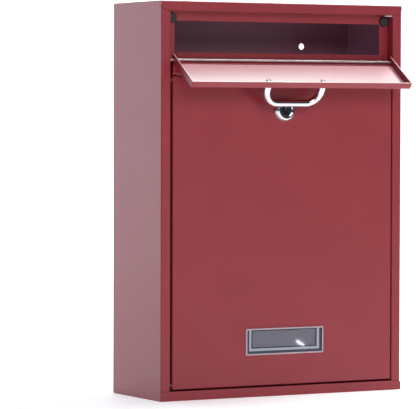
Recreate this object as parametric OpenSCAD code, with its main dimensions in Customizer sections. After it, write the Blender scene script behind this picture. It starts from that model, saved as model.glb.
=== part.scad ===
// Wall drop box for letters: a folded steel casing with a hinged letter flap,
// a locked front door with a name window, and four holes for wall screws.
// Frame: the back lies on the wall plane Y = 0, the front faces -Y, +Z is up,
// and the origin is the middle of the fixing holes on the back face.

/* [Casing] */
// Overall width
case_w = 319; // [280:1:420]
// Overall height
case_h = 452; // [420:1:600]
// Depth from the wall to the front face
case_d = 120; // [80:1:200]
// Thickness of the steel sheet
sheet_t = 1; // [0.8:0.1:1.2]
// Inside radius of the folds
fold_r = 0.6; // [0.4:0.1:0.8]

/* [Front frame] */
// Width of the strip left and right of the opening
stile_w = 12; // [9:0.5:16]
// Height of the strip above and below the opening
rail_h = 11; // [9:0.5:16]
// Depth of the rebate that flap and door sit in
rebate_d = 12.7; // [12.5:0.1:20]
// Width of the lip at the back of the rebate
lip_w = 11; // [9:0.5:14]
// Corner radius of the top rail's ends
top_ear_r = 9; // [6:0.5:9.5]
// Corner radius of the bottom rail's ends
bottom_ear_r = 4.5; // [2:0.5:6]
// How far the bottom rail's right end stands out past the side
ear_proud = 0.9; // [0:0.1:1.2]

/* [Wall fixings] */
// Diameter of the four holes
fixing_d = 7.4; // [5:0.2:10]
// Distance between the holes, left to right
fixing_x = 187; // [120:0.2:220]
// Distance between the holes, top to bottom
fixing_z = 359.2; // [260:0.2:380]

/* [Letter flap] */
// Height of the flap from its bottom edge to its top edge
flap_h = 56.3; // [45:0.1:75]
// Gap above the closed flap
flap_gap_top = 2.7; // [2.6:0.1:4]
// Gap left of the flap
flap_gap_left = 4.1; // [4:0.1:7]
// Gap right of the flap
flap_gap_right = 1.3; // [1:0.1:2.5]
// Depth of the flap's folded returns
flap_return = 8.7; // [8:0.1:8.9]
// Diameter of the hinge rod
rod_d = 3; // [2.5:0.1:3.2]
// Rod axis behind the flap's outer face
rod_in = 2.8; // [2.7:0.1:3]
// Rod axis above the flap's bottom edge
rod_up = 3.6; // [3.2:0.1:3.8]
// Radial clearance of the flap on its rod
rod_clear = 0.05; // [0.03:0.01:0.1]

/* [Flap handle] */
// Distance between the two feet
handle_span = 72; // [55:0.5:96]
// Reach from the flap to the middle of the bar
handle_reach = 27; // [26:0.1:34]
// Radius of the two corners, to the middle of the bar
handle_corner_r = 17; // [10:0.2:20]
// Diameter of the bar
handle_bar_d = 8.4; // [5:0.1:8.8]
// Diameter of the feet
handle_foot_d = 9.2; // [7:0.1:10]
// Lean of the legs towards the flap's tip, in degrees
handle_lean = 6; // [0:1:8]
// Distance of the feet from the flap's tip
handle_in = 13; // [11.5:0.5:20]
// Sideways place of the handle from the middle of the casing
handle_x = -0.5; // [-10:0.05:10]
// Diameter of the screws' heads
handle_screw_head_d = 8; // [6:0.2:9]
// Height of the screws' heads
handle_screw_head_h = 1.6; // [1.2:0.1:3]
// Diameter of the screws
handle_screw_d = 4; // [3:0.1:4.4]

/* [Cross rail] */
// Height of the rail's front strip
cross_h = 12; // [10:0.1:16]
// Gap between the closed flap and the rail
cross_gap = 1.15; // [1:0.05:1.6]
// Distance from the front face to the rail's upstand
ledge_d = 8.3; // [7.9:0.1:9]
// Height of the upstand above the rail
upstand_h = 13.1; // [8:0.1:20]
// Height of the weld tabs on the lips
weld_tab_h = 9; // [6:0.5:9]

/* [Door] */
// Gap on the hinge side
door_gap_left = 2.6; // [2.2:0.1:3.4]
// Gap on the closing side
door_gap_right = 1.3; // [1.2:0.1:2.5]
// Gap below the door
door_gap_bottom = 2.2; // [1.5:0.1:3]
// Gap between the door and the cross rail
door_gap_top = 1.3; // [1:0.1:2]
// Depth of the door's folded returns
door_return = 12; // [10:0.5:12]
// Diameter of the hinge pins
pin_d = 4; // [3:0.1:4.4]
// Pin axis from the door's edge and from its face
pin_in = 5.5; // [5.3:0.1:6]
// Height of the hinge brackets
bracket_h = 15; // [12:0.5:24]
// Depth of the hinge brackets
bracket_d = 9; // [8.5:0.1:9.4]
// Rivet axis from the door's bottom or top edge
rivet_up = 4.8; // [4.6:0.1:6]
// Rivet axis behind the door's face
rivet_in = 4; // [3.6:0.1:6]
// Diameter of the bracket rivets
rivet_d = 2.4; // [2:0.1:2.4]

/* [Lock] */
// Lock axis below the door's top edge
lock_drop = 38.4; // [30:0.2:39]
// Sideways place of the lock from the middle of the door
lock_shift = -0.6; // [-10:0.1:10]
// Diameter of the lock's base
lock_base_d = 27; // [22:0.2:28]
// Diameter of the lock's front ring
lock_ring_d = 20; // [18:0.2:21]
// How far the lock stands out from the door
lock_proud = 6.2; // [4:0.2:8]
// Diameter of the recess in the ring
lock_recess_d = 16.4; // [14.6:0.2:17]
// Depth of the recess
lock_recess = 1.6; // [0.6:0.1:2.4]
// Diameter of the threaded barrel
lock_barrel_d = 18; // [17:0.2:18.4]
// Diameter of the plug
plug_d = 14; // [12:0.2:14]
// Radial clearance of the plug in its barrel
plug_clear = 0.05; // [0.03:0.01:0.1]
// Reach of the cam from the lock's axis to its tip
cam_reach = 45; // [43.5:0.5:50]
// Width of the cam's arm
cam_w = 13; // [10:0.5:16]
// Thickness of the cam
cam_t = 2; // [1.5:0.1:2.5]
// Width across the flats of the nut
nut_flats = 23; // [22:0.5:27]
// Thickness of the nut
nut_t = 4; // [3:0.5:5]

/* [Name window] */
// Width over the rim
window_w = 103; // [80:1:120]
// Height over the rim
window_h = 30.5; // [24:0.5:40]
// Distance of the rim from the door's bottom edge
window_up = 35.1; // [25:0.1:60]
// Sideways place of the window from the middle of the casing
window_x = 1.4; // [-10:0.1:10]
// Width of the rim
rim_w = 2.2; // [2:0.1:4]
// How far the rim stands out from the door
rim_t = 1.4; // [0.8:0.1:2]
// Thickness of the clear pane and its walls
pane_t = 1.2; // [1:0.1:1.6]
// Depth of the card pocket behind the pane
pocket_d = 4; // [3:0.1:5]
// Thickness of the backing
backing_t = 0.8; // [0.6:0.1:1]

/* [Rubber buffers] */
// Diameter of the buffers
buffer_d = 11; // [8:0.5:11]
// Distance of the left buffer from the opening's left side
buffer_left = 6.9; // [5.7:0.1:8.4]
// Distance of the right buffer from the opening's right side
buffer_right = 5.7; // [5.7:0.1:8.4]
// Distance of the buffers from the casing's top
buffer_down = 18.8; // [17:0.1:19]
// Gap between the buffers and the closed flap
buffer_gap = 0.3; // [0.2:0.1:0.6]

/* [Flap catch] */
// Width of the catch
catch_w = 10.4; // [6:0.2:12]
// Height of the catch
catch_h = 2; // [1.6:0.1:2]
// Thickness of the catch's spring steel
catch_t = 0.5; // [0.3:0.1:0.5]

/* [Hidden] */

paint = "#8f3a41";
zinc = "#b9bcc0";
chrome = "#d8dbe0";
rubber = "#2b2d31";
blackened = "#34312f";

$fn = 48;
// Small overshoot of the cutting solids
cut = 1;
// Gap between pieces that are welded or clipped to each other
seam = 0.15;
// Gap around the rails' round ends
ear_seam = 0.5;
// Clearance next to folds
fold_gap = 0.1;
// Clearance of screws and rivets in their holes
screw_fit = 0.02;
// Facets in each fold, in the rails' round ends and in the round edges
fold_steps = 5;
ear_steps = 8;
edge_steps = 6;
// The rails' round ends stop short of running out along the side
ear_flat = 0.5;
// Round edge of a screw or rivet head, and its cross recess, as parts of its height and radius
head_round = 0.6;
recess_floor = 0.45;
recess_reach = 0.6;
recess_half_w = 0.11;
// Empty end of a screw's blind hole
tip_gap = 1;
fold_out = fold_r + sheet_t;
half_t = sheet_t / 2;

half_w = case_w / 2;
front_y = -case_d;
top_z = case_h / 2;
open_w = half_w - stile_w;
lip_x = open_w - lip_w;
lip_y = front_y + rebate_d;
weld_flange = 12;

// Letter flap and its rod
rod_z = top_z - rail_h - flap_gap_top - flap_h + rod_up;
rod_y = front_y + rod_in;
rod_r = rod_d / 2;
rod_short = 2;
rod_half = half_w - sheet_t - rod_short;
flap_left = -open_w + flap_gap_left;
flap_w = 2 * open_w - flap_gap_left - flap_gap_right;
flap_tip = flap_h - rod_up;

// Cross rail
cross_top = rod_z - rod_up - cross_gap;
cross_bottom = cross_top - cross_h;
cross_left = -open_w + door_gap_left;
// The rail's right end reaches a little past the flap
cross_over = 0.3;
cross_right = open_w - flap_gap_right + cross_over;
// Gap between the rail's tabs or upstand and the lips' edges
lip_gap = 0.5;
upstand_half = lip_x - 2 * lip_gap;
upstand_top = cross_top + upstand_h;
// The strip's ends have no fold and stay below the open flap
end_relief = 1;

// The open flap rests on the rounded front edge of the cross rail
stop_gap = 0.17;
stop_x = rod_in - fold_out;
stop_z = rod_up + cross_gap + fold_out;
flap_open = atan2(stop_z, stop_x) + acos((rod_in + fold_out + stop_gap) / norm([stop_x, stop_z]));

// Door
door_left = -open_w + door_gap_left;
door_w = 2 * open_w - door_gap_left - door_gap_right;
door_bottom = -top_z + rail_h + door_gap_bottom;
door_h = cross_bottom - door_gap_top - door_bottom;
door_top = door_bottom + door_h;
door_back = front_y + door_return;
pin_x = door_left + pin_in;
pin_y = front_y + pin_in;
pin_r = pin_d / 2;
pin_clear = 0.05;
pin_head_over = 0.8;
pin_head_r = pin_r + pin_head_over;
pin_head_t = 1;
// How far the pins reach through the frame
pin_through = 2;
bracket_t = 1;
bracket_end = 1.5;
bracket_y = front_y + fold_out + fold_gap;
rivet_y = front_y + rivet_in;
rivet_head = 0.9;
rivet_over = 0.3;
rivet_tail = 0.4;

// Lock
lock_x = door_left + door_w / 2 + lock_shift;
lock_z = door_top - lock_drop;
lock_base_t = 1.2;
// Bezel: facets of its slope, how far the slope bulges, and the ring's small edge
dome_steps = 5;
dome_bulge = 0.16;
ring_edge = 0.3;
barrel_flats = 16.4;
cam_gap = 0.3;
barrel_end = lip_y + cam_gap;
cam_y = barrel_end + cam_gap;
tail_side = 7;
tail_clear = 0.1;
tail_end = cam_y + cam_t;
keyway_w = 1.4;
keyway_h = 8;
keyway_d = 9;
screw_r = 2.5;
screw_head_r = 4.4;
screw_head_h = 2.6;
washer_r = 6.2;
washer_t = 1;
screw_depth = 9;

// Name window
window_mid_x = window_x;
window_mid_z = door_bottom + window_up + window_h / 2;
// The rim covers a little of the door around the cut-out
rim_cover = 0.5;
cutout_w = window_w - 2 * (rim_w + rim_cover);
cutout_h = window_h - 2 * (rim_w + rim_cover);
body_w = cutout_w - 2 * seam;
body_h = cutout_h - 2 * seam;
window_r = 1.5;
cutout_r = 0.4;
pane_sink = 0.8;
step_w = 3;
step_d = 0.4;
hook_w = 12;
hook_out = 0.7;
hook_gap = 0.2;
hook_t = 1;
backing_fit = 0.2;

// Rubber buffers
buffer_z = top_z - buffer_down;
buffer_face = front_y + flap_return + buffer_gap;
buffer_neck_r = 1.9;
buffer_barb_r = 2.6;
buffer_barb_h = 3;
buffer_tip_r = 1.1;
buffer_edge = 1.2;
buffer_places = [-open_w + buffer_left, open_w - buffer_right];

// Flap catch: its front fold and hook behind the front face, and its end before the lip
catch_front = 1.2;
catch_hook = 5.5;
catch_end = 4;

// Feet of the handle, and how deep its screws and the cam's screw go
handle_feet = [handle_x - handle_span / 2, handle_x + handle_span / 2];
screw_bite = 9;

// Unit vector and its left normal
function unit(v) = v / norm(v);
function left_of(v) = [-v[1], v[0]];
function cross2(a, b) = a[0] * b[1] - a[1] * b[0];

// Arc of points from angle a over sweep s
function arc(c, r, a, s, steps) = [
  for (k = [0:steps])
    let (turned = a + s * k / steps)
    c + r * [cos(turned), sin(turned)]
];

// One side of a folded strip's outline at a corner, for a sheet of thickness t
function fold_corner(a, p, b, t, r, side) =
  let (
    d1 = unit(p - a),
    d2 = unit(b - p),
    turn = sign(cross2(d1, d2)),
    sweep = turn * acos(d1 * d2),
    mid = r + t / 2,
    c = p - d1 * mid * tan(abs(sweep) / 2) + turn * left_of(d1) * mid,
    from = -turn * left_of(d1)
  )
  arc(c, mid - turn * side * t / 2, atan2(from[1], from[0]), sweep, fold_steps);

// One whole side of a folded strip's outline
function fold_side(p, t, r, side) = [
  p[0] + side * t / 2 * left_of(unit(p[1] - p[0])),
  for (i = [1:1:len(p) - 2]) each fold_corner(p[i - 1], p[i], p[i + 1], t, r, side),
  p[len(p) - 1] + side * t / 2 * left_of(unit(p[len(p) - 1] - p[len(p) - 2]))
];

function reversed(v) = [for (i = [len(v) - 1:-1:0]) v[i]];

// Outline of a sheet of thickness t folded along the centreline p
function folded(p, t = sheet_t, r = fold_r) = concat(fold_side(p, t, r, 1), reversed(fold_side(p, t, r, -1)));

// Rectangle with four round corners, around the origin
function round_rect(w, h, r) = [
  for (q = [0:3])
    let (
      x = (q == 0 || q == 3 ? 1 : -1) * (w / 2 - r),
      z = (q < 2 ? 1 : -1) * (h / 2 - r)
    )
    each arc([x, z], r, q * 90, 90, fold_steps)
];

// Extrudes a (y, z) outline along X
module along_x(x0, x1) {
  translate([x0, 0, 0])
    rotate([90, 0, 90])
      linear_extrude(x1 - x0)
        children();
}

// Extrudes an (x, z) outline along Y
module along_y(y0, y1) {
  translate([0, y1, 0])
    rotate([90, 0, 0])
      linear_extrude(y1 - y0)
        children();
}

// Cylinders along the three axes, from p
module rod_x(p, r, l) {
  translate(p)
    rotate([0, 90, 0])
      cylinder(r = r, h = l);
}

module rod_y(p, r, l) {
  translate(p)
    rotate([-90, 0, 0])
      cylinder(r = r, h = l);
}

module box(lo, hi) {
  translate(lo)
    cube(hi - lo);
}

// Front half of a tray's outline, with a round corner at each folded end
function tray_outline(a0, a1, d, r, fold0, fold1) = concat(
  [[a0, d]],
  fold0 ? arc([a0 + r, r], r, 180, 90, fold_steps) : [[a0, 0]],
  fold1 ? arc([a1 - r, r], r, 270, 90, fold_steps) : [[a1, 0]],
  [[a1, d]]
);

function swapped(v) = [for (p = v) [p[1], p[0]]];

// Solid block with a tray's outer or inner form: folds left, right and top, and bottom if closed
module tray_block(x0, x1, z0, z1, y0, d, r, closed) {
  intersection() {
    translate([0, y0, z0 - cut])
      linear_extrude(z1 - z0 + 2 * cut)
        polygon(tray_outline(x0, x1, d, r, true, true));
    translate([0, y0, 0])
      along_x(x0 - cut, x1 + cut)
        polygon(swapped(tray_outline(z0, z1, d, r, closed, true)));
  }
}

// Sheet folded into a tray that is open at the back, with slits between the returns
module tray(w, h, d, closed) {
  slit = 0.3;
  difference() {
    tray_block(0, w, 0, h, 0, d, fold_out, closed);
    tray_block(sheet_t, w - sheet_t, closed ? sheet_t : -cut, h - sheet_t, sheet_t, d, fold_r, closed);
    for (x = [sheet_t, w - sheet_t - slit])
      box([x, fold_out + sheet_t, h - sheet_t - slit], [x + slit, d + cut, h + cut]);
    if (closed)
      for (x = [sheet_t, w - sheet_t - slit])
        box([x, fold_out + sheet_t, -cut], [x + slit, d + cut, sheet_t + slit]);
  }
}

// Rail's front outline in (x, z), with its lower outer corners rounded
function rail_outline(r, proud, grow) =
  let (
    inset = r - ear_flat,
    cz = top_z - rail_h + r,
    rr = r + grow,
    low = asin(inset / rr)
  )
  concat(
    [[-half_w - grow, top_z + grow]],
    [[-half_w - grow, cz - rr * cos(low)]],
    arc([-half_w + inset, cz], rr, 270 - low, low, ear_steps),
    arc([half_w + proud - inset, cz], rr, 270, low, ear_steps),
    [[half_w + proud + grow, cz - rr * cos(low)]],
    [[half_w + proud + grow, top_z + grow]]
  );

// Everything that the casing's stiles give up to a rail at the top
module rail_notch(ear_r, proud) {
  along_y(front_y - cut, front_y + fold_out + seam)
    polygon(rail_outline(ear_r, proud, ear_seam));
  for (s = [-1, 1]) {
    box([s * (lip_x + open_w) / 2 - lip_w, lip_y - fold_r - seam, top_z - rail_h - lip_w - seam],
        [s * (lip_x + open_w) / 2 + lip_w, lip_y + sheet_t + cut, top_z + cut]);
  }
  box([-half_w + sheet_t, front_y - cut, top_z - sheet_t - seam],
      [half_w - sheet_t, front_y + rebate_d + 2 * cut, top_z + cut]);
}

// Left side, back and right side in one sheet, with the stiles and their lips
module casing() {
  path = [
    [-lip_x, lip_y + half_t],
    [-open_w - half_t, lip_y + half_t],
    [-open_w - half_t, front_y + half_t],
    [-half_w + half_t, front_y + half_t],
    [-half_w + half_t, -half_t],
    [half_w - half_t, -half_t],
    [half_w - half_t, front_y + half_t],
    [open_w + half_t, front_y + half_t],
    [open_w + half_t, lip_y + half_t],
    [lip_x, lip_y + half_t]
  ];
  color(paint)
    difference() {
      translate([0, 0, -top_z])
        linear_extrude(case_h)
          polygon(folded(path));
      rail_notch(top_ear_r, 0);
      mirror([0, 0, 1])
        rail_notch(bottom_ear_r, ear_proud);
      for (x = [-fixing_x / 2, fixing_x / 2])
        for (z = [-fixing_z / 2, fixing_z / 2])
          rod_y([x, -sheet_t - cut, z], fixing_d / 2, sheet_t + 2 * cut);
      rod_x([-half_w + sheet_t + cut, rod_y, rod_z], rod_r + seam, 2 * (half_w - sheet_t - cut));
    }
}

// Top sheet: back flange, panel, front rail, rebate and lip, with weld flanges inside the sides
module end_panel(ear_r, proud) {
  flange_end = top_z - weld_flange;
  panel_z = top_z - half_t;
  rebate_z = top_z - rail_h + half_t;
  channel = [
    [-sheet_t - half_t, flange_end],
    [-sheet_t - half_t, panel_z],
    [front_y + half_t, panel_z],
    [front_y + half_t, rebate_z],
    [lip_y + half_t, rebate_z],
    [lip_y + half_t, top_z - rail_h - lip_w]
  ];
  rail = [
    [front_y + fold_out + fold_gap, panel_z],
    [front_y + half_t, panel_z],
    [front_y + half_t, top_z - rail_h]
  ];
  side_x = half_w - sheet_t - half_t;
  sides = [[-side_x, flange_end], [-side_x, panel_z], [side_x, panel_z], [side_x, flange_end]];
  along_x(-open_w + seam, open_w - seam)
    polygon(folded(channel));
  intersection() {
    along_x(-half_w, half_w + proud)
      polygon(folded(rail));
    along_y(front_y - cut, 0)
      polygon(rail_outline(ear_r, proud, 0));
  }
  box([-half_w + sheet_t + fold_out, front_y + fold_out, top_z - sheet_t],
      [half_w - sheet_t - fold_out, -sheet_t - fold_out, top_z]);
  along_y(front_y + fold_out + 2 * seam, -sheet_t - fold_out)
    polygon(folded(sides));
}

module top_panel() {
  color(paint)
    difference() {
      end_panel(top_ear_r, 0);
      for (b = buffer_places)
        rod_y([b, lip_y - cut, buffer_z], buffer_neck_r + seam, sheet_t + 2 * cut);
    }
}

module bottom_panel() {
  color(paint)
    difference() {
      mirror([0, 0, 1])
        end_panel(bottom_ear_r, ear_proud);
      translate([pin_x, pin_y, -top_z + rail_h - sheet_t - cut])
        cylinder(r = pin_r + pin_clear, h = sheet_t + 2 * cut);
    }
}

// Rail between flap and door: return, front strip, ledge and upstand, welded to the lips
module cross_rail() {
  low_z = cross_bottom + half_t;
  strip_y = front_y + half_t;
  ledge_z = cross_top - half_t;
  strip = [[lip_y, low_z], [strip_y, low_z], [strip_y, cross_top - end_relief]];
  middle = [
    [lip_y, low_z],
    [strip_y, low_z],
    [strip_y, ledge_z],
    [front_y + ledge_d + half_t, ledge_z],
    [front_y + ledge_d + half_t, upstand_top]
  ];
  ends = [
    [lip_y - half_t, cross_bottom + weld_tab_h],
    [lip_y - half_t, low_z],
    [strip_y, low_z],
    [strip_y, cross_top - end_relief]
  ];
  color(paint)
    difference() {
      union() {
        along_x(cross_left, cross_right)
          polygon(folded(strip));
        along_x(-upstand_half, upstand_half)
          polygon(folded(middle));
        for (x = [[cross_left, -lip_x - lip_gap], [lip_x + lip_gap, cross_right]])
          along_x(x[0], x[1])
            polygon(folded(ends));
      }
      translate([pin_x, pin_y, cross_bottom - cut])
        cylinder(r = pin_r + pin_clear, h = sheet_t + 2 * cut);
    }
}

// Places a piece that is drawn closed, around the rod, at the flap's resting angle
module on_flap() {
  translate([0, rod_y, rod_z])
    rotate([flap_open, 0, 0])
      children();
}

module flap() {
  color(paint)
    on_flap()
      difference() {
        translate([flap_left, -rod_in, -rod_up])
          tray(flap_w, flap_h, flap_return, false);
        rod_x([flap_left - cut, 0, 0], rod_r + rod_clear, flap_w + 2 * cut);
        for (x = handle_feet)
          rod_y([x, -rod_in - cut, flap_tip - handle_in], handle_screw_d / 2 + seam, sheet_t + 2 * cut);
      }
}

module hinge_rod() {
  color(zinc)
    rod_x([-rod_half, rod_y, rod_z], rod_r, 2 * rod_half);
}

// Bent bar with tapering legs: legs, two corners and the bar, cut flush with the flap
module flap_handle() {
  bar_r = handle_bar_d / 2;
  leg = handle_reach / cos(handle_lean) - handle_corner_r;
  sink = handle_foot_d;
  color(chrome)
    on_flap()
      difference() {
        translate([handle_x, -rod_in, flap_tip - handle_in])
          rotate([90 - handle_lean, 0, 0])
            union() {
              for (s = [-1, 1]) {
                translate([s * handle_span / 2, 0, 0])
                  cylinder(r1 = handle_foot_d / 2, r2 = bar_r, h = leg);
                translate([s * handle_span / 2, 0, -sink])
                  cylinder(r = handle_foot_d / 2, h = sink);
                translate([s * (handle_span / 2 - handle_corner_r), 0, leg])
                  rotate([90, 0, s > 0 ? 0 : 180])
                    rotate_extrude(angle = 90)
                      translate([handle_corner_r, 0])
                        circle(r = bar_r);
              }
              rod_x([-handle_span / 2 + handle_corner_r, 0, leg + handle_corner_r], bar_r,
                    handle_span - 2 * handle_corner_r);
            }
        box([handle_x - handle_span, -rod_in, flap_tip - handle_in - 3 * sink],
            [handle_x + handle_span, 3 * sink, flap_tip - handle_in + 3 * sink]);
        for (x = handle_feet)
          rod_y([x, -rod_in - screw_bite, flap_tip - handle_in], handle_screw_d / 2 + screw_fit,
                screw_bite + cut);
      }
}

module handle_screws() {
  color(zinc)
    on_flap()
      for (x = handle_feet)
        translate([x, -rod_in + sheet_t, flap_tip - handle_in])
          rotate([-90, 0, 0]) {
            cross_head(handle_screw_head_d / 2, handle_screw_head_h);
            translate([0, 0, -screw_bite - sheet_t + tip_gap])
              cylinder(r = handle_screw_d / 2, h = screw_bite + sheet_t - tip_gap);
          }
}

// Low round screw head: a cylinder with a rounded upper edge
module pan_head(r, h) {
  rotate_extrude()
    polygon(concat(
      [[0, 0], [r, 0]],
      arc([r - h * head_round, h * (1 - head_round)], h * head_round, 0, 90, edge_steps),
      [[0, h]]
    ));
}

// The same head with a cross recess
module cross_head(r, h) {
  difference() {
    pan_head(r, h);
    for (a = [0, 90])
      rotate([0, 0, a])
        box([-recess_reach * r, -recess_half_w * r, recess_floor * h],
            [recess_reach * r, recess_half_w * r, h + cut]);
  }
}

// Spring strip under the top rail that holds the closed flap
module flap_catch() {
  top = top_z - rail_h;
  path = [
    [lip_y - catch_end, top - catch_t / 2],
    [front_y + catch_front, top - catch_t / 2],
    [front_y + catch_front, top - catch_h + catch_t / 2],
    [front_y + catch_hook, top - catch_h + catch_t / 2]
  ];
  right = open_w - seam - fold_gap;
  color(zinc)
    along_x(right - catch_w, right)
      polygon(folded(path, catch_t, catch_t / 2));
}

// Push-in buffer: head against the lip, neck through it and barb behind
module buffer(x) {
  head = lip_y - buffer_face;
  r = buffer_d / 2;
  tip = -sheet_t - buffer_barb_h;
  profile = concat(
    [[0, tip], [buffer_tip_r, tip], [buffer_barb_r, -sheet_t]],
    [[buffer_neck_r, -sheet_t], [buffer_neck_r, 0], [r, 0]],
    arc([r - buffer_edge, head - buffer_edge], buffer_edge, 0, 90, edge_steps),
    [[0, head]]
  );
  color(rubber)
    translate([x, lip_y, buffer_z])
      rotate([90, 0, 0])
        rotate_extrude()
          polygon(profile);
}

module buffer_left() {
  buffer(buffer_places[0]);
}

module buffer_right() {
  buffer(buffer_places[1]);
}

// Door sheet with its cut-outs for lock, window, pins and rivets
module door() {
  color(paint)
    difference() {
      translate([door_left, front_y, door_bottom])
        tray(door_w, door_h, door_return, true);
      intersection() {
        rod_y([lock_x, front_y - cut, lock_z], lock_barrel_d / 2 + seam, sheet_t + 2 * cut);
        box([lock_x - barrel_flats / 2 - seam, front_y - 2 * cut, lock_z - lock_barrel_d],
            [lock_x + barrel_flats / 2 + seam, front_y + sheet_t + 2 * cut, lock_z + lock_barrel_d]);
      }
      translate([window_mid_x, 0, window_mid_z])
        along_y(front_y - cut, front_y + sheet_t + cut)
          polygon(round_rect(cutout_w, cutout_h, cutout_r));
      translate([pin_x, pin_y, door_bottom - cut])
        cylinder(r = pin_r + pin_clear, h = door_h + 2 * cut);
      for (z = rivet_heights)
        rod_x([door_left - cut, rivet_y, z], rivet_d / 2 + screw_fit, sheet_t + 2 * cut);
    }
}

rivet_heights = [door_bottom + rivet_up, door_top - rivet_up];

// Folded bracket in the door's lower hinge corner, drawn for the bottom
module hinge_bracket() {
  wall_x = door_left + sheet_t;
  floor_z = door_bottom + sheet_t;
  path = [
    [wall_x + bracket_t / 2, floor_z + bracket_h],
    [wall_x + bracket_t / 2, floor_z + bracket_t / 2],
    [pin_x + pin_head_r + bracket_end, floor_z + bracket_t / 2]
  ];
  difference() {
    along_y(bracket_y, bracket_y + bracket_d)
      polygon(folded(path, bracket_t, fold_r));
    translate([pin_x, pin_y, floor_z - cut])
      cylinder(r = pin_r + pin_clear, h = bracket_t + 2 * cut);
    rod_x([wall_x - cut, rivet_y, rivet_heights[0]], rivet_d / 2 + screw_fit, bracket_t + 2 * cut);
  }
}

// Headed pivot pin, drawn for the bottom: head on the bracket, shank down through the frame
module hinge_pin(reach) {
  seat = door_bottom + sheet_t + bracket_t;
  translate([pin_x, pin_y, seat])
    cylinder(r = pin_head_r, h = pin_head_t);
  translate([pin_x, pin_y, seat - reach])
    cylinder(r = pin_r, h = reach);
}

// Turns what is drawn for the door's bottom edge over to its top edge
module at_door_top() {
  translate([0, 0, door_bottom + door_top])
    mirror([0, 0, 1])
      children();
}

module hinge_bracket_top() {
  color(zinc)
    at_door_top()
      hinge_bracket();
}

module hinge_bracket_bottom() {
  color(zinc)
    hinge_bracket();
}

module hinge_pin_top() {
  color(blackened)
    at_door_top()
      hinge_pin(sheet_t + bracket_t + door_gap_top + sheet_t + pin_through);
}

module hinge_pin_bottom() {
  color(blackened)
    hinge_pin(sheet_t + bracket_t + door_gap_bottom + sheet_t + pin_through);
}

// Rivets through the door's hinge side: head in the gap, tail on the bracket
module bracket_rivets() {
  head_r = rivet_d / 2 + rivet_over;
  grip = sheet_t + bracket_t;
  color(zinc)
    for (z = rivet_heights)
      translate([door_left, rivet_y, z])
        rotate([0, 90, 0]) {
          rotate([180, 0, 0])
            pan_head(head_r, rivet_head);
          cylinder(r = rivet_d / 2, h = grip);
          translate([0, 0, grip])
            cylinder(r = head_r, h = rivet_tail);
        }
}

// Places a turned piece on the lock's axis, with its local Z running into the box
module on_lock() {
  translate([lock_x, 0, lock_z])
    rotate([-90, 0, 0])
      children();
}

// Chrome housing: base flange, domed bezel with a sunk ring, and a barrel with two flats
module lock_housing() {
  base_r = lock_base_d / 2;
  ring_r = lock_ring_d / 2;
  face = front_y - lock_proud;
  shoulder = front_y - lock_base_t;
  rise = lock_proud - lock_base_t - ring_edge;
  slope = [
    for (k = [0:dome_steps])
      let (f = k / dome_steps)
      [base_r - (base_r - ring_r) * f, shoulder - rise * (f + dome_bulge * sin(180 * f))]
  ];
  dome = concat([[0, front_y], [base_r, front_y]], slope, [[ring_r - ring_edge, face], [0, face]]);
  color(chrome)
    on_lock()
      difference() {
        union() {
          rotate_extrude($fn = 72)
            polygon(dome);
          intersection() {
            translate([0, 0, front_y])
              cylinder(r = lock_barrel_d / 2, h = barrel_end - front_y);
            box([-barrel_flats / 2, -lock_barrel_d, front_y - cut], [barrel_flats / 2, lock_barrel_d, 0]);
          }
        }
        translate([0, 0, face - cut])
          cylinder(r = lock_recess_d / 2, h = lock_recess + cut);
        translate([0, 0, face])
          cylinder(r = plug_d / 2 + plug_clear, h = barrel_end - face + cut);
      }
}

module lock_nut() {
  color(zinc)
    on_lock()
      translate([0, 0, front_y + sheet_t])
        difference() {
          cylinder(r = nut_flats / 2 / cos(30), h = nut_t, $fn = 6);
          translate([0, 0, -cut])
            cylinder(r = lock_barrel_d / 2 + plug_clear, h = nut_t + 2 * cut);
        }
}

// Turning plug: face with a keyway, shaft, and a square tail that carries the cam
module lock_plug() {
  face = front_y - lock_proud + lock_recess;
  shaft_end = cam_y - fold_gap;
  color(chrome)
    on_lock()
      difference() {
        union() {
          translate([0, 0, face])
            cylinder(r = plug_d / 2, h = shaft_end - face);
          box([-tail_side / 2, -tail_side / 2, shaft_end - cut], [tail_side / 2, tail_side / 2, tail_end]);
        }
        box([-keyway_w / 2, -keyway_h / 2, face - cut], [keyway_w / 2, keyway_h / 2, face + keyway_d]);
        translate([0, 0, tail_end - screw_depth])
          cylinder(r = screw_r + screw_fit, h = screw_depth + cut);
      }
}

// Flat cam, at rest to the right: hub, arm and rounded tip
module lock_cam() {
  hub_r = 10;
  color(zinc)
    on_lock()
      translate([0, 0, cam_y])
        linear_extrude(cam_t)
          difference() {
            union() {
              circle(r = hub_r);
              translate([0, -cam_w / 2])
                square([cam_reach - cam_w / 2, cam_w]);
              translate([cam_reach - cam_w / 2, 0])
                circle(r = cam_w / 2);
            }
            square(tail_side + 2 * tail_clear, center = true);
          }
}

module cam_washer() {
  color(zinc)
    on_lock()
      translate([0, 0, tail_end])
        difference() {
          cylinder(r = washer_r, h = washer_t);
          translate([0, 0, -cut])
            cylinder(r = screw_r + seam, h = washer_t + 2 * cut);
        }
}

module cam_screw() {
  color(zinc)
    on_lock() {
      translate([0, 0, tail_end + washer_t])
        cross_head(screw_head_r, screw_head_h);
      translate([0, 0, tail_end - screw_depth + tip_gap])
        cylinder(r = screw_r, h = screw_depth - tip_gap + washer_t);
    }
}

// Moves a piece drawn around the window's middle, with Y measured from the door's face
module on_window() {
  translate([window_mid_x, front_y, window_mid_z])
    children();
}

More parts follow.
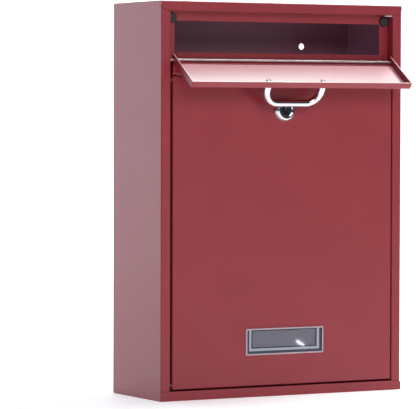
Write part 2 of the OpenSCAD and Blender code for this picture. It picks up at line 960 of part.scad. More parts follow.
// Clear moulding: rim on the door, sunk pane with a stepped edge, and a pocket open at the top
module name_window() {
  pane_back = -rim_t + pane_sink + pane_t;
  wall_z = body_h / 2;
  wall_x = body_w / 2;
  hook_y = sheet_t + hook_gap;
  color("#c9ccd4")
    on_window() {
      difference() {
        along_y(-rim_t, 0)
          polygon(round_rect(window_w, window_h, window_r));
        along_y(-rim_t - cut, cut)
          polygon(round_rect(window_w - 2 * rim_w, window_h - 2 * rim_w, window_r));
      }
      difference() {
        along_y(-rim_t + pane_sink, pane_back)
          polygon(round_rect(window_w - 2 * rim_w, window_h - 2 * rim_w, window_r));
        box([-wall_x + step_w, -rim_t - cut, -wall_z + step_w],
            [wall_x - step_w, -rim_t + pane_sink + step_d, wall_z + cut]);
        box([-window_w, 0, -window_h], [-wall_x, pane_back + cut, window_h]);
        box([wall_x, 0, -window_h], [window_w, pane_back + cut, window_h]);
        box([-window_w, 0, wall_z], [window_w, pane_back + cut, window_h]);
        box([-window_w, 0, -window_h], [window_w, pane_back + cut, -wall_z]);
      }
      for (s = [-1, 1]) {
        wall = s * (wall_x - pane_t / 2);
        box([wall - pane_t / 2, 0, -wall_z], [wall + pane_t / 2, pane_back + pocket_d, wall_z]);
        box([min(wall, s * (wall_x + hook_out)), hook_y, -hook_w / 2],
            [max(wall, s * (wall_x + hook_out)), hook_y + hook_t, hook_w / 2]);
      }
      box([-wall_x, 0, -wall_z], [wall_x, pane_back + pocket_d, -wall_z + pane_t]);
    }
}

module window_backing() {
  pane_back = -rim_t + pane_sink + pane_t;
  side = body_w / 2 - pane_t - backing_fit;
  color("#6a6a72")
    on_window()
      box([-side, pane_back + pocket_d - backing_t, -body_h / 2 + pane_t],
          [side, pane_back + pocket_d, body_h / 2]);
}

casing();
top_panel();
bottom_panel();
cross_rail();
flap();
hinge_rod();
flap_handle();
handle_screws();
flap_catch();
buffer_left();
buffer_right();
door();
hinge_bracket_top();
hinge_bracket_bottom();
hinge_pin_top();
hinge_pin_bottom();
bracket_rivets();
lock_housing();
lock_nut();
lock_plug();
lock_cam();
cam_washer();
cam_screw();
name_window();
window_backing();
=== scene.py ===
# Wall drop box for letters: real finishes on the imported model, small fittings and a plain studio
import math
import bpy
from mathutils import Matrix, Vector


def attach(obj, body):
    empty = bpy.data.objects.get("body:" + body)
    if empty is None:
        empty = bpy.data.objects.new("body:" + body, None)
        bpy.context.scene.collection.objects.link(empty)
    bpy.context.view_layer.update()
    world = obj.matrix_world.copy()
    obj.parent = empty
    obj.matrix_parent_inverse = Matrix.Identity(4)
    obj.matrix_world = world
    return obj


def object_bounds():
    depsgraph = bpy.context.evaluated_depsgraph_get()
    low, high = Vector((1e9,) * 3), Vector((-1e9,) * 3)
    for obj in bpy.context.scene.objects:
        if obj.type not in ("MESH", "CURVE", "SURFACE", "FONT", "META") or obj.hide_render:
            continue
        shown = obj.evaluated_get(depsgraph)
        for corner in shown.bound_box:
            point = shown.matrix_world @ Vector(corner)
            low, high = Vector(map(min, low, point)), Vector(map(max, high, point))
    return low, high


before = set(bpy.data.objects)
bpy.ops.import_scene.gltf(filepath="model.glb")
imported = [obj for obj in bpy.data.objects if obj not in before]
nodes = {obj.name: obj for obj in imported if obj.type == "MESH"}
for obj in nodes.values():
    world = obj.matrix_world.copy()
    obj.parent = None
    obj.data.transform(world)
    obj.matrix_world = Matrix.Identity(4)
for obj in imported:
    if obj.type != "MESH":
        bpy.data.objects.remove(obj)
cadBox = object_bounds()
scene = bpy.context.scene
mm = 0.001
print("frame loaded:", len(nodes), "pieces")


# sRGB hex to the linear colour that Blender works in
def linearColour(hexColour):
    channels = [int(hexColour[i:i + 2], 16) / 255 for i in (0, 2, 4)]
    return [c / 12.92 if c <= 0.04045 else ((c + 0.055) / 1.055) ** 2.4 for c in channels] + [1.0]


# Adds a node with its settings, and sets or links its inputs. A Mix node has its two colours at inputs
# 6 and 7, and the mixed one at output 2
def addNode(tree, kind, inputs=None, **settings):
    node = tree.nodes.new(kind)
    for name, value in settings.items():
        setattr(node, name, value)
    for socket, value in (inputs or {}).items():
        if isinstance(value, bpy.types.NodeSocket):
            tree.links.new(value, node.inputs[socket])
        else:
            node.inputs[socket].default_value = value
    return node


# Noise scale that gives features of this size in millimetres on Object coordinates
def noiseScale(size):
    return 1.0 / (size * mm)


# Empty node material and the Object coordinates that its patterns are drawn on
def startMaterial(name):
    material = bpy.data.materials.new(name)
    material.use_nodes = True
    tree = material.node_tree
    tree.nodes.clear()
    place = addNode(tree, "ShaderNodeTexCoord").outputs["Object"]
    return material, tree, place


def endMaterial(tree, shader):
    addNode(tree, "ShaderNodeOutputMaterial", {"Surface": shader.outputs[0]})


# Camera: where the photographer stood, worked out from the casing's corners
cameraView = {
    "place": (-1.645373, -2.930050, 0.103094),  # metres
    "yaw": 28.8142,  # degrees
    "pitch": 1.9124,
    "roll": -0.1528,
    "lens": 244.9,  # mm, on a sensor 36 mm wide
    "sensor": 36.0,
    "farthest": 100,  # metres, where its sight ends
}


def makeCamera(view):
    yaw, pitch, roll = (math.radians(view[key]) for key in ("yaw", "pitch", "roll"))
    ahead = Vector((math.sin(yaw) * math.cos(pitch), math.cos(yaw) * math.cos(pitch), -math.sin(pitch)))
    level = Vector((math.cos(yaw), -math.sin(yaw), 0))
    down = ahead.cross(level)
    right = math.cos(roll) * level + math.sin(roll) * down
    up = math.sin(roll) * level - math.cos(roll) * down
    data = bpy.data.cameras.new("photoCamera")
    data.lens = view["lens"]
    data.sensor_width = view["sensor"]
    data.sensor_fit = "HORIZONTAL"
    data.clip_end = view["farthest"]
    camera = bpy.data.objects.new("photoCamera", data)
    facing = Matrix((right, up, -ahead)).transposed().to_4x4()
    camera.matrix_world = Matrix.Translation(view["place"]) @ facing
    scene.collection.objects.link(camera)
    scene.camera = camera


makeCamera(cameraView)
print("camera set")


# Studio: a paper sweep in a dim room, a soft box overhead, a key in front, panels that the paint mirrors,
# a wash on the paper, a weak lamp in the box and one for the window's bright spot
casingSheets = ("casing", "top_panel", "bottom_panel")
studio = {
    "paper": "f6f7f9",
    "paperRoughness": 0.6,
    "paperBack": 3.5,  # metres, how far the sheet reaches
    "paperFront": -4.0,
    "paperHalf": 4.0,
    "sweepRadius": 1.2,
    "sweepSteps": 16,
    "wallHeight": 3.0,
    "paperGlow": 0.5,  # what the rest of the room adds to the paper
    "room": "eef1ff",
    "roomStrength": 0.07,
    "beyond": "eceef2",  # what the camera sees past the paper's edge
    "lamps": {
        "overheadBox": {
            "place": (0.69, 0.04, 1.5),
            "aim": (0, -0.14, 0.14),
            "size": (0.8, 0.5),
            "radiance": 25.0,
        },
        "frontKey": {
            "place": (-0.3, -2.5, 1.1),
            "aim": (0, 0, -0.05),
            "size": (1.4, 1.0),
            "radiance": 6.4,
        },
        "backLeftPanel": {
            "place": (-0.95, 1.6, 0.35),
            "aim": (0, 0, 0),
            "size": (1.6, 1.5),
            "radiance": 1.25,
            "colour": "ebeeff",
        },
        "frontRightPanel": {
            "place": (1.05, -1.95, 0.4),
            "aim": (0, 0, 0),
            "size": (1.8, 1.4),
            "radiance": 0.34,
            "lights": casingSheets + ("flap", "door"),
        },
        "backdropWash": {
            "place": (0.8, 1.9, 2.2),
            "aim": (1.2, 3.5, 0.6),
            "size": (3.0, 0.6),
            "radiance": 14.0,
        },
        "insideBounce": {  # stands in the box, and a corner of it reaches out behind
            "place": (0.04, -0.05, 0.0),
            "aim": (0.09, -0.03, 0.2),
            "size": (0.06, 0.2),
            "radiance": 4.4,
            "colour": "e0dcff",
            "lights": casingSheets,
        },
        "windowGlint": {
            "place": (0.273, -0.542, -0.2065),
            "aim": (0.0227, -0.1206, -0.1661),
            "size": (0.012, 0.0042),
            "radiance": 14.0,
            "roll": -32,  # degrees
            "lights": ("name_window",),
        },
    },
}


# Paper that lies under the box and bends up behind it. It shows from its face only
def makeSweep(spec):
    base = cadBox[0][2]
    back = spec["paperBack"]
    half = spec["paperHalf"]
    radius = spec["sweepRadius"]
    profile = [(spec["paperFront"], base)]
    for step in range(spec["sweepSteps"] + 1):
        turn = math.pi / 2 * step / spec["sweepSteps"]
        profile.append((back - radius + radius * math.sin(turn), base + radius - radius * math.cos(turn)))
    profile.append((back, base + spec["wallHeight"]))
    points = [(x, y, z) for y, z in profile for x in (-half, half)]
    faces = [(2 * i, 2 * i + 1, 2 * i + 3, 2 * i + 2) for i in range(len(profile) - 1)]
    mesh = bpy.data.meshes.new("paperSweep")
    mesh.from_pydata(points, [], faces)
    mesh.shade_smooth()
    material, tree = startMaterial("studioPaper")[:2]
    paper = addNode(tree, "ShaderNodeBsdfPrincipled", {
        "Base Color": linearColour(spec["paper"]),
        "Roughness": spec["paperRoughness"],
        "Emission Color": linearColour(spec["paper"]),
        "Emission Strength": spec["paperGlow"],
    })
    clear = addNode(tree, "ShaderNodeBsdfTransparent")
    behind = addNode(tree, "ShaderNodeNewGeometry").outputs["Backfacing"]
    sheet = addNode(tree, "ShaderNodeMixShader", {0: behind, 1: paper.outputs[0], 2: clear.outputs[0]})
    endMaterial(tree, sheet)
    mesh.materials.append(material)
    sweep = bpy.data.objects.new("paperSweep", mesh)
    scene.collection.objects.link(sweep)


# Soft lamp that shines towards its aim. One that has "lights" is kept off all other pieces
def makeLamp(name, lamp):
    data = bpy.data.lights.new(name, "AREA")
    data.shape = "RECTANGLE"
    data.size, data.size_y = lamp["size"]
    data.energy = lamp["radiance"] * math.pi * data.size * data.size_y
    data.color = linearColour(lamp.get("colour", "ffffff"))[:3]
    light = bpy.data.objects.new(name, data)
    light.location = lamp["place"]
    toAim = Vector(lamp["aim"]) - Vector(lamp["place"])
    roll = Matrix.Rotation(math.radians(lamp.get("roll", 0)), 3, "Z")
    light.rotation_euler = (toAim.to_track_quat("-Z", "Y").to_matrix() @ roll).to_euler()
    light.visible_camera = False
    if "lights" in lamp:
        lit = bpy.data.collections.new(name + "Lights")
        for piece in lamp["lights"]:
            lit.objects.link(nodes[piece])
        light.light_linking.receiver_collection = lit
    scene.collection.objects.link(light)


# The dim room lights and is mirrored, and the camera sees the pale colour past the paper in its place
def makeRoom(spec):
    world = bpy.data.worlds.new("dimRoom")
    world.use_nodes = True
    tree = world.node_tree
    tree.nodes.clear()
    room = addNode(tree, "ShaderNodeBackground", {
        "Color": linearColour(spec["room"]), "Strength": spec["roomStrength"],
    })
    beyond = addNode(tree, "ShaderNodeBackground", {"Color": linearColour(spec["beyond"])})
    seen = addNode(tree, "ShaderNodeLightPath").outputs["Is Camera Ray"]
    sky = addNode(tree, "ShaderNodeMixShader", {0: seen, 1: room.outputs[0], 2: beyond.outputs[0]})
    addNode(tree, "ShaderNodeOutputWorld", {"Surface": sky.outputs[0]})
    scene.world = world
    scene.view_settings.view_transform = "Standard"


makeSweep(studio)
for lampName, lampSpec in studio["lamps"].items():
    makeLamp(lampName, lampSpec)
makeRoom(studio)
print("studio set")


# Colour that runs from the first to the second while the value crosses the spread
def blendColours(tree, value, spread, first, second):
    share = addNode(tree, "ShaderNodeMapRange", {
        "Value": value, "From Min": spread[0], "From Max": spread[1],
    })
    mixed = addNode(tree, "ShaderNodeMix", {
        "Factor": share.outputs[0], 6: linearColour(first), 7: linearColour(second),
    }, data_type="RGBA")
    return mixed.outputs[2]


# 1 between start and end, falling to 0 over the blur outside them
def pulse(tree, value, start, end, blur):
    up = addNode(tree, "ShaderNodeMapRange", {"Value": value, "From Min": start - blur, "From Max": start})
    down = addNode(tree, "ShaderNodeMapRange", {"Value": value, "From Min": end + blur, "From Max": end})
    both = addNode(tree, "ShaderNodeMath", {0: up.outputs[0], 1: down.outputs[0]}, operation="MULTIPLY")
    return both.outputs[0]


# Polyester powder coat on folded steel: even wine red, half gloss, with a fine orange peel
powderCoat = {
    "colour": "8e2831",
    "thinColour": "8a2630",
    "cloud": 45.0,  # mm, slow drift in the film's thickness
    "grain": 0.4,  # mm, melted powder grains
    "peel": 1.8,  # mm, real peel is near 1 mm and is drawn coarser so that it shows
    "detail": {"cloud": 3.0, "grain": 1.0, "peel": 2.0},  # how many finer layers each pattern has
    "grainShare": 0.35,  # how much the grains add to the cloud
    "spread": (0.5, 0.85),  # their sum, from the thin film to the full one
    "roughness": (0.34, 0.38),
    "bump": 0.35,
    "peelHeight": 0.012,  # mm
    "ior": 1.5,
}

# The flap's inside looks far paler. The overhead box gives part of that, and the rest is drawn as a painted
# highlight, a pale colour laid over the paint on its inner faces, which is a guess
paintedFlapHighlight = {
    # colours of the painted highlight, away from the rod and near it
    "colour": "c09fa1",
    "hingeColour": "e8a6ad",
    "rod": (0, -0.1172, 0.1596),  # metres, the flap's hinge line
    "openAngle": 124.293,  # degrees
    "sheetMiddle": -2.2,  # mm from the rod, between the sheet's two faces
    "stripEnd": 6.0,  # mm from the rod, where the red strip beside it ends
    "tip": 51.6,  # mm from the rod, short of the fold
    "middle": 1.4,  # mm, across
    "half": 143.7,
    "blur": 0.15,
    "hingeFade": (2.0, 38.0),  # mm from the rod, where the colour changes
    "endFade": (12.0, 0.75),  # mm from the end folds, and the painted highlight's share at them
    "sheetEdge": 5.6,  # mm, the folds' cut edges lie above this
}


# Mask that is 1 on the flap's inner faces and cut edges, from the place on the open flap, and the painted
# highlight's colour there
def flapInside(tree, place, spec):
    turn = math.radians(spec["openAngle"])
    blur = spec["blur"]
    fromRod = addNode(tree, "ShaderNodeVectorMath", {0: place, 1: spec["rod"]}, operation="SUBTRACT")
    height = addNode(tree, "ShaderNodeVectorMath", {
        0: fromRod.outputs[0], 1: (0, math.cos(turn), math.sin(turn)),
    }, operation="DOT_PRODUCT").outputs["Value"]
    reach = addNode(tree, "ShaderNodeVectorMath", {
        0: fromRod.outputs[0], 1: (0, -math.sin(turn), math.cos(turn)),
    }, operation="DOT_PRODUCT").outputs["Value"]
    across = addNode(tree, "ShaderNodeSeparateXYZ", {0: fromRod.outputs[0]}).outputs["X"]
    offset = addNode(tree, "ShaderNodeMath", {0: across, 1: spec["middle"] * mm}, operation="SUBTRACT")
    aside = addNode(tree, "ShaderNodeMath", {0: offset.outputs[0]}, operation="ABSOLUTE").outputs[0]
    mask = 1.0
    for value, start, end in (
            (height, spec["sheetMiddle"], spec["sheetMiddle"] + blur),
            (reach, spec["stripEnd"], spec["stripEnd"] + blur),
            (reach, spec["tip"], spec["tip"] - blur),
            (aside, spec["half"], spec["half"] - blur)):
        step = addNode(tree, "ShaderNodeMapRange", {
            "Value": value, "From Min": start * mm, "From Max": end * mm,
        })
        both = addNode(tree, "ShaderNodeMath", {0: mask, 1: step.outputs[0]}, operation="MULTIPLY")
        mask = both.outputs[0]
    depth, endShare = spec["endFade"]
    fade = addNode(tree, "ShaderNodeMapRange", {
        "Value": aside,
        "From Min": spec["half"] * mm,
        "From Max": (spec["half"] - depth) * mm,
        "To Min": endShare,
    })
    faces = addNode(tree, "ShaderNodeMath", {0: mask, 1: fade.outputs[0]}, operation="MULTIPLY")
    edge = addNode(tree, "ShaderNodeMapRange", {
        "Value": height, "From Min": spec["sheetEdge"] * mm, "From Max": (spec["sheetEdge"] + blur) * mm,
    })
    mask = addNode(tree, "ShaderNodeMath", {0: faces.outputs[0], 1: edge.outputs[0]}, operation="MAXIMUM")
    fadeSpread = [distance * mm for distance in spec["hingeFade"]]
    return mask.outputs[0], blendColours(tree, reach, fadeSpread, spec["hingeColour"], spec["colour"])


# The faces that look into the box are drawn in a greyer, paler red than the outside; what makes them look
# greyer is a guess
greyInside = {
    "colour": "8c5c66",
    "low": (-158.5, -106.5, -225.5),  # mm, halfway through the sheets
    "high": (158.5, -0.5, 225.5),
    "blur": 0.2,
}


# Mask that is 1 on the faces that look into the box, and the greyer colour there
def boxInside(tree, place, spec):
    spot = addNode(tree, "ShaderNodeSeparateXYZ", {0: place})
    mask = 1.0
    for axis, low, high in zip("XYZ", spec["low"], spec["high"]):
        within = pulse(tree, spot.outputs[axis], low * mm, high * mm, spec["blur"] * mm)
        mask = addNode(tree, "ShaderNodeMath", {0: mask, 1: within}, operation="MULTIPLY").outputs[0]
    return mask, linearColour(spec["colour"])


def makePowderCoat(name, spec, inside=None, findInside=None):
    material, tree, place = startMaterial(name)
    noise = {}
    for pattern, detail in spec["detail"].items():
        noise[pattern] = addNode(tree, "ShaderNodeTexNoise", {
            "Vector": place, "Scale": noiseScale(spec[pattern]), "Detail": detail,
        }).outputs[0]
    drift = addNode(tree, "ShaderNodeMath", {
        0: noise["grain"], 1: spec["grainShare"], 2: noise["cloud"],
    }, operation="MULTIPLY_ADD").outputs[0]
    colour = blendColours(tree, drift, spec["spread"], spec["thinColour"], spec["colour"])
    # on the flap this lays the painted highlight over the paint, and in the box the greyer colour of its
    # inside
    if inside:
        mask, overlayColour = findInside(tree, place, inside)
        mixed = addNode(tree, "ShaderNodeMix", {"Factor": mask, 6: colour, 7: overlayColour}, data_type="RGBA")
        colour = mixed.outputs[2]
    gloss = addNode(tree, "ShaderNodeMapRange", {
        "Value": drift,
        "From Min": spec["spread"][0],
        "From Max": spec["spread"][1],
        "To Min": spec["roughness"][0],
        "To Max": spec["roughness"][1],
    })
    bump = addNode(tree, "ShaderNodeBump", {
        "Height": noise["peel"], "Strength": spec["bump"], "Distance": spec["peelHeight"] * mm,
    })
    coat = addNode(tree, "ShaderNodeBsdfPrincipled", {
        "Base Color": colour,
        "Roughness": gloss.outputs[0],
        "Normal": bump.outputs[0],
        "IOR": spec["ior"],
    })
    endMaterial(tree, coat)
    return material


# Bright zinc plating: cool grey, faintly streaked along the drawn or rolled steel under it
zincPlate = {
    "colour": "c3c6ca",
    "dullColour": "8f9296",
    "streak": (6.0, 0.5, 0.5),  # mm, long in X
    "roughness": (0.22, 0.45),
    "bump": 0.3,
    "height": 0.02,  # mm
}

# Polished chrome on cast zinc: near mirror, with a faint ripple from buffing
chromePlate = {
    "colour": "e4e6ea",
    "dullColour": "d4d7dc",
    "streak": (9.0, 9.0, 9.0),
    "roughness": (0.05, 0.1),
    "bump": 0.15,
    "height": 0.05,
}

# Ground steel of the rod, the catch and the rivets: pale and satin, with fine marks along X
groundRod = {
    "colour": "dcd6d6",
    "dullColour": "b4aeb0",
    "streak": (14.0, 0.8, 0.8),
    "roughness": (0.38, 0.5),
    "bump": 0.05,
    "height": 0.01,
}

# Dull nickel of the handle's screws: grey, with hardly a mirror in it
dullNickel = {
    "colour": "989496",
    "dullColour": "767274",
    "streak": (1.0, 1.0, 1.0),
    "roughness": (0.45, 0.6),
    "bump": 0.2,
    "height": 0.01,
}

# Turned steel of the plug's face: darker, with a satin surface
turnedSteel = {
    "colour": "4a4e58",
    "dullColour": "262930",
    "streak": (0.8, 0.8, 0.8),
    "roughness": (0.25, 0.4),
    "bump": 0.3,
    "height": 0.02,
}

# Blackened steel of the pins that the door hangs on: near black, with a low sheen
blackenedSteel = {
    "colour": "3a3836",
    "dullColour": "262422",
    "streak": (1.0, 1.0, 3.0),
    "roughness": (0.4, 0.55),
    "bump": 0.2,
    "height": 0.01,
}

# Stamped brass of the wafers inside the keyway: yellow, dulled by age
waferBrass = {
    "colour": "c8a560",
    "dullColour": "8a6a34",
    "streak": (0.6, 0.6, 0.6),
    "roughness": (0.25, 0.4),
    "bump": 0.2,
    "height": 0.01,
}

# What the streaks of all the metals share
metalPattern = {"detail": 4.0, "spread": (0.35, 0.65)}


def makeMetal(name, spec):
    material, tree, place = startMaterial(name)
    spread = metalPattern["spread"]
    stretch = addNode(tree, "ShaderNodeMapping", {
        "Vector": place, "Scale": [noiseScale(size) for size in spec["streak"]],
    })
    streaks = addNode(tree, "ShaderNodeTexNoise", {
        "Vector": stretch.outputs[0], "Scale": 1.0, "Detail": metalPattern["detail"],
    }).outputs[0]
    gloss = addNode(tree, "ShaderNodeMapRange", {
        "Value": streaks,
        "From Min": spread[0],
        "From Max": spread[1],
        "To Min": spec["roughness"][0],
        "To Max": spec["roughness"][1],
    })
    bump = addNode(tree, "ShaderNodeBump", {
        "Height": streaks, "Strength": spec["bump"], "Distance": spec["height"] * mm,
    })
    metal = addNode(tree, "ShaderNodeBsdfPrincipled", {
        "Base Color": blendColours(tree, streaks, spread, spec["dullColour"], spec["colour"]),
        "Metallic": 1.0,
        "Roughness": gloss.outputs[0],
        "Normal": bump.outputs[0],
    })
    endMaterial(tree, metal)
    return material


# Moulded nitrile rubber: black with a dusty bloom
mouldedRubber = {
    "colour": "1c1d21",
    "bloom": "2f3136",
    "grain": 0.5,  # mm
    "roughness": 0.62,
    "bump": 0.4,
    "height": 0.03,  # mm
}

# High-impact polystyrene of the backing: mid grey, matt
mattPolystyrene = {
    "colour": "6c6c76",
    "bloom": "73737d",
    "grain": 0.8,
    "roughness": 0.5,
    "bump": 0.2,
    "height": 0.01,
}

# What the grain of both matt materials shares
mattPattern = {"detail": 3.0, "spread": (0.4, 0.7)}


def makeMattMaterial(name, spec):
    material, tree, place = startMaterial(name)
    grain = addNode(tree, "ShaderNodeTexNoise", {
        "Vector": place, "Scale": noiseScale(spec["grain"]), "Detail": mattPattern["detail"],
    }).outputs[0]
    bump = addNode(tree, "ShaderNodeBump", {
        "Height": grain, "Strength": spec["bump"], "Distance": spec["height"] * mm,
    })
    matt = addNode(tree, "ShaderNodeBsdfPrincipled", {
        "Base Color": blendColours(tree, grain, mattPattern["spread"], spec["colour"], spec["bloom"]),
        "Roughness": spec["roughness"],
        "Normal": bump.outputs[0],
    })
    endMaterial(tree, matt)
    return material


# Clear polystyrene moulding: you look through its faces, while its rim and edges get a painted highlight, a
# pale pink diffuse layer for the light they gather. The light and dark lines of a label's frame are a
# painted highlight and painted shade, guessed from the photograph
clearMoulding = {
    "colour": "dfe2ec",
    "paleHighlight": "e2c9d2",
    "rimFront": -121.0,  # mm, the rim stands in front of this plane
    "rimBlur": 0.1,
    "hazeAndHighlight": 0.06,  # share of the pale layer in the pane, and of painted highlight on the rim and the edges
    "rimHighlight": 0.6,
    "edgeHighlight": 0.7,
    "edgeTurn": (0.8, 0.3),  # how far a face looks to the front, from face to edge
    "middle": (1.4, -162.45),  # mm, X and Z
    "half": (51.5, 15.25),
    "rimLine": (1.7, 2.7),  # mm from the outside, the shadow line at the rim's foot
    "rimLineBlur": 0.2,
    "ridge": {"left": 6.1, "right": 6.8, "bottom": 6.2},  # mm from the outside to the frame's ridge
    "farInside": 100.0,  # larger than any place in the window, as a share of that distance
    "ridgeLight": (0.79, 1.17),  # the ridge's painted highlight line and its two painted shade lines, as such shares
    "ridgeShade": ((0.44, 0.74), (1.24, 1.42)),
    "ridgeBlur": 0.05,
    "ridgeHighlightColour": "a4aab8",
    "shadeColour": "23283a",
    "flow": 14.0,  # mm
    "flowDetail": 2.0,
    "roughness": 0.04,
    "bump": 0.12,
    "height": 0.05,  # mm
    "ior": 1.59,
}


# Masks of the painted highlight line and the painted shade lines of the label's frame, seen through the pane
def frameLines(tree, place, spec):
    spot = addNode(tree, "ShaderNodeSeparateXYZ", {0: place})
    sides = {}
    for axis, middle, half, low, high in (
            ("X", spec["middle"][0], spec["half"][0], "left", "right"),
            ("Z", spec["middle"][1], spec["half"][1], "bottom", "top")):
        for side, direction in ((low, 1), (high, -1)):
            sides[side] = addNode(tree, "ShaderNodeMath", {
                0: spot.outputs[axis], 1: direction / mm, 2: half - direction * middle,
            }, operation="MULTIPLY_ADD").outputs[0]
    nearest = sides["top"]
    share = spec["farInside"]
    for side, reach in spec["ridge"].items():
        nearer = addNode(tree, "ShaderNodeMath", {0: nearest, 1: sides[side]}, operation="MINIMUM")
        nearest = nearer.outputs[0]
        scaled = addNode(tree, "ShaderNodeMath", {0: sides[side], 1: reach}, operation="DIVIDE")
        least = addNode(tree, "ShaderNodeMath", {0: share, 1: scaled.outputs[0]}, operation="MINIMUM")
        share = least.outputs[0]
    underRim = addNode(tree, "ShaderNodeMath", {
        0: sides["top"], 1: spec["rimLine"][0],
    }, operation="GREATER_THAN").outputs[0]
    lines = []
    for start, end in (spec["ridgeLight"], *spec["ridgeShade"]):
        line = pulse(tree, share, start, end, spec["ridgeBlur"])
        below = addNode(tree, "ShaderNodeMath", {0: line, 1: underRim}, operation="MULTIPLY")
        lines.append(below.outputs[0])
    shade = pulse(tree, nearest, *spec["rimLine"], spec["rimLineBlur"])
    for line in lines[1:]:
        shade = addNode(tree, "ShaderNodeMath", {0: shade, 1: line}, operation="MAXIMUM").outputs[0]
    return lines[0], shade


def makeClearPlastic(name, spec):
    material, tree, place = startMaterial(name)
    flow = addNode(tree, "ShaderNodeTexNoise", {
        "Vector": place, "Scale": noiseScale(spec["flow"]), "Detail": spec["flowDetail"],
    })
    bump = addNode(tree, "ShaderNodeBump", {
        "Height": flow.outputs[0], "Strength": spec["bump"], "Distance": spec["height"] * mm,
    }).outputs[0]
    depth = addNode(tree, "ShaderNodeSeparateXYZ", {0: place}).outputs["Y"]
    rim = addNode(tree, "ShaderNodeMapRange", {
        "Value": depth,
        "From Min": (spec["rimFront"] + spec["rimBlur"]) * mm,
        "From Max": (spec["rimFront"] - spec["rimBlur"]) * mm,
        "To Min": spec["hazeAndHighlight"],
        "To Max": spec["rimHighlight"],
    })
    normal = addNode(tree, "ShaderNodeNewGeometry").outputs["Normal"]
    facing = addNode(tree, "ShaderNodeSeparateXYZ", {0: normal}).outputs["Y"]
    front = addNode(tree, "ShaderNodeMath", {0: facing}, operation="ABSOLUTE")
    hazeAndHighlight = addNode(tree, "ShaderNodeMapRange", {
        "Value": front.outputs[0],
        "From Min": spec["edgeTurn"][0],
        "From Max": spec["edgeTurn"][1],
        "To Min": rim.outputs[0],
        "To Max": spec["edgeHighlight"],
    })
    light, shade = frameLines(tree, place, spec)
    surface = addNode(tree, "ShaderNodeBsdfTransparent", {"Color": linearColour(spec["colour"])})
    # lays the painted highlight of the rim and edges, the painted shade lines and the painted highlight line
    # over the clear surface
    for cover, colour in ((hazeAndHighlight.outputs[0], "paleHighlight"), (shade, "shadeColour"), (light, "ridgeHighlightColour")):
        layer = addNode(tree, "ShaderNodeBsdfDiffuse", {"Color": linearColour(spec[colour])})
        surface = addNode(tree, "ShaderNodeMixShader", {
            0: cover, 1: surface.outputs[0], 2: layer.outputs[0],
        })
    mirror = addNode(tree, "ShaderNodeBsdfGlossy", {"Roughness": spec["roughness"], "Normal": bump})
    share = addNode(tree, "ShaderNodeFresnel", {"IOR": spec["ior"], "Normal": bump}).outputs[0]
    surface = addNode(tree, "ShaderNodeMixShader", {0: share, 1: surface.outputs[0], 2: mirror.outputs[0]})
    endMaterial(tree, surface)
    return material


finishes = {
    "paint": makePowderCoat("powderCoatRed", powderCoat),
    "casingPaint": makePowderCoat("powderCoatCasing", powderCoat, greyInside, boxInside),
    "flapPaint": makePowderCoat("powderCoatFlap", powderCoat, paintedFlapHighlight, flapInside),
    "zinc": makeMetal("zincPlate", zincPlate),
    "chrome": makeMetal("chromePlate", chromePlate),
    "turned": makeMetal("turnedSteel", turnedSteel),
    "nickel": makeMetal("dullNickel", dullNickel),
    "rod": makeMetal("groundRod", groundRod),
    "blackened": makeMetal("blackenedSteel", blackenedSteel),
    "brass": makeMetal("waferBrass", waferBrass),
    "rubber": makeMattMaterial("mouldedRubber", mouldedRubber),
    "backing": makeMattMaterial("mattPolystyrene", mattPolystyrene),
    "clear": makeClearPlastic("clearPolystyrene", clearMoulding),
}
wears = {
    "paint": ("cross_rail", "door"),
    "casingPaint": casingSheets,
    "flapPaint": ("flap",),
    "nickel": ("handle_screws",),
    "rod": ("hinge_rod", "flap_catch", "bracket_rivets"),
    "zinc": ("hinge_bracket_top", "hinge_bracket_bottom", "lock_nut", "lock_cam", "cam_washer", "cam_screw"),
    "blackened": ("hinge_pin_top", "hinge_pin_bottom"),
    "chrome": ("flap_handle", "lock_housing"),
    "turned": ("lock_plug",),
    "rubber": ("buffer_left", "buffer_right"),
    "backing": ("window_backing",),
    "clear": ("name_window",),
}
for finish, pieces in wears.items():
    for piece in pieces:
        mesh = nodes[piece].data
        mesh.materials.clear()
        mesh.materials.append(finishes[finish])
print("finishes set:", len(finishes))


# Runs a node tree once and keeps what it makes as a plain mesh
def bakeNodes(name, group, values):
    carrier = bpy.data.objects.new(name + "Carrier", bpy.data.meshes.new(name + "Carrier"))
    scene.collection.objects.link(carrier)
    modifier = carrier.modifiers.new(name, "NODES")
    modifier.node_group = group
    for item in group.interface.items_tree:
        if item.in_out == "INPUT":
            modifier[item.identifier] = values[item.name]
    solid = carrier.evaluated_get(bpy.context.evaluated_depsgraph_get())
    mesh = bpy.data.meshes.new_from_object(solid)
    carrier.modifiers.remove(modifier)
    bpy.data.objects.remove(carrier)
    mesh.name = name
    piece = bpy.data.objects.new(name, mesh)
    scene.collection.objects.link(piece)
    return piece


# Wafers that stand in the keyway, each at its own height
wafers = {
    "count": 5,
    "first": (0.05, -123.75, 104.75),  # mm, the middle of the front one
    "pitch": 1.5,
    "size": (1.3, 0.7, 4.2),
    "rows": (3, 9),  # vertices along Y and Z
    "nose": (-0.5, -0.38),  # where the lower end is drawn in, as a share of the height
    "noseDepth": 0.35,  # share of the depth that is left at its tip
    "scatter": 0.7,  # mm, up and down
    "seed": 4,
}
waferInputs = {
    "Count": "NodeSocketInt",
    "Pitch": "NodeSocketFloat",
    "First": "NodeSocketVector",
    "Size": "NodeSocketVector",
    "Scatter": "NodeSocketFloat",
    "Seed": "NodeSocketInt",
    "Material": "NodeSocketMaterial",
}


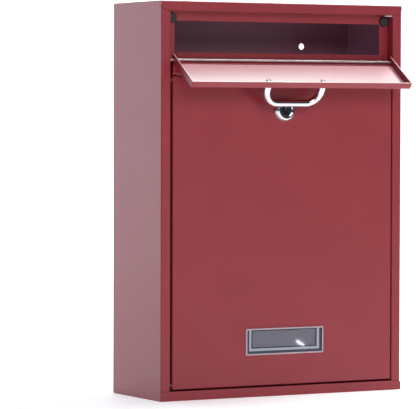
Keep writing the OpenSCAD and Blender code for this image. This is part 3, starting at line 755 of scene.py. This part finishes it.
def makeWafers(spec):
    group = bpy.data.node_groups.new("waferStack", "GeometryNodeTree")
    for name, kind in waferInputs.items():
        group.interface.new_socket(name, in_out="INPUT", socket_type=kind)
    group.interface.new_socket("Geometry", in_out="OUTPUT", socket_type="NodeSocketGeometry")
    given = addNode(group, "NodeGroupInput").outputs
    step = addNode(group, "ShaderNodeCombineXYZ", {"Y": given["Pitch"]})
    row = addNode(group, "GeometryNodeMeshLine", {
        "Count": given["Count"], "Start Location": given["First"], "Offset": step.outputs[0],
    })
    plate = addNode(group, "GeometryNodeMeshCube", {
        "Size": given["Size"], "Vertices Y": spec["rows"][0], "Vertices Z": spec["rows"][1],
    })
    # draws the plate's lower end in to a slimmer nose
    spot = addNode(group, "GeometryNodeInputPosition").outputs[0]
    along = addNode(group, "ShaderNodeSeparateXYZ", {0: spot}).outputs
    tall = addNode(group, "ShaderNodeSeparateXYZ", {0: given["Size"]}).outputs["Z"]
    down = addNode(group, "ShaderNodeMath", {0: along["Z"], 1: tall}, operation="DIVIDE")
    slim = addNode(group, "ShaderNodeMapRange", {
        "Value": down.outputs[0],
        "From Min": spec["nose"][0],
        "From Max": spec["nose"][1],
        "To Min": spec["noseDepth"],
        "To Max": 1.0,
    })
    depth = addNode(group, "ShaderNodeMath", {0: along["Y"], 1: slim.outputs[0]}, operation="MULTIPLY")
    nose = addNode(group, "ShaderNodeCombineXYZ", {"X": along["X"], "Y": depth.outputs[0], "Z": along["Z"]})
    wafer = addNode(group, "GeometryNodeSetPosition", {
        "Geometry": plate.outputs["Mesh"], "Position": nose.outputs[0],
    })
    stack = addNode(group, "GeometryNodeInstanceOnPoints", {
        "Points": row.outputs[0], "Instance": wafer.outputs[0],
    })
    low = addNode(group, "ShaderNodeMath", {0: given["Scatter"], 1: -1.0}, operation="MULTIPLY")
    # inputs 2 and 3 are the float limits, and output 1 is the float
    height = addNode(group, "FunctionNodeRandomValue", {
        2: low.outputs[0], 3: given["Scatter"], "Seed": given["Seed"],
    }, data_type="FLOAT")
    lift = addNode(group, "ShaderNodeCombineXYZ", {"Z": height.outputs[1]})
    placed = addNode(group, "GeometryNodeTranslateInstances", {
        "Instances": stack.outputs[0], "Translation": lift.outputs[0],
    })
    real = addNode(group, "GeometryNodeRealizeInstances", {0: placed.outputs[0]})
    painted = addNode(group, "GeometryNodeSetMaterial", {
        "Geometry": real.outputs[0], "Material": given["Material"],
    })
    addNode(group, "NodeGroupOutput", {"Geometry": painted.outputs[0]})
    return bakeNodes("keyway_wafers", group, {
        "Count": spec["count"],
        "Pitch": spec["pitch"] * mm,
        "First": [value * mm for value in spec["first"]],
        "Size": [value * mm for value in spec["size"]],
        "Scatter": spec["scatter"] * mm,
        "Seed": spec["seed"],
        "Material": finishes["brass"],
    })


keywayWafers = makeWafers(wafers)
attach(keywayWafers, "lock")
print("wafers made:", len(keywayWafers.data.polygons), "faces")
